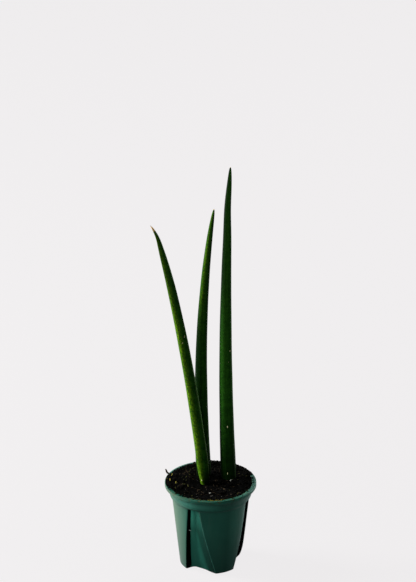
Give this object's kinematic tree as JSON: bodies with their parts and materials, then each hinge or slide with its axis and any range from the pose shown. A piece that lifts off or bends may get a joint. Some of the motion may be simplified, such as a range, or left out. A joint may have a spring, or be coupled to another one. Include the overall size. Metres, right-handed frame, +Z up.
{
  "type": "potted snake plant",
  "caption": "Round-leaved snake plant in a small dark green nursery pot with open side slits; stands on a flat base.",
  "frame": {"origin": "centre of the pot's flat underside, on the surface that the pot stands on", "axes": "+Z up, from the pot to the leaf tips; -Y towards the viewer, with the leaning leaf on the -X side"},
  "size_m": [0.0745, 0.064, 0.3034],
  "materials": {
    "pot_plastic": "satin moulded plastic, dark teal green",
    "soil": "dark moist potting soil",
    "rhizome": "pale brown fleshy stem and roots",
    "leaf": "waxy dark green, faintly mottled and grooved",
    "perlite": "rough pale mineral grain",
    "straw": "dry yellow plant fibre",
    "bark": "dark dry bark"
  },
  "bodies": {
    "root": {"pot": "pot_plastic", "soil": "soil", "rhizome": "rhizome", "leaf_left": "leaf", "leaf_middle": "leaf", "leaf_right": "leaf", "perlite_front": "perlite", "perlite_right": "perlite", "fibre_front": "straw", "fibre_left": "straw", "bark_crumb": "bark"}
  },
  "joints": []
}
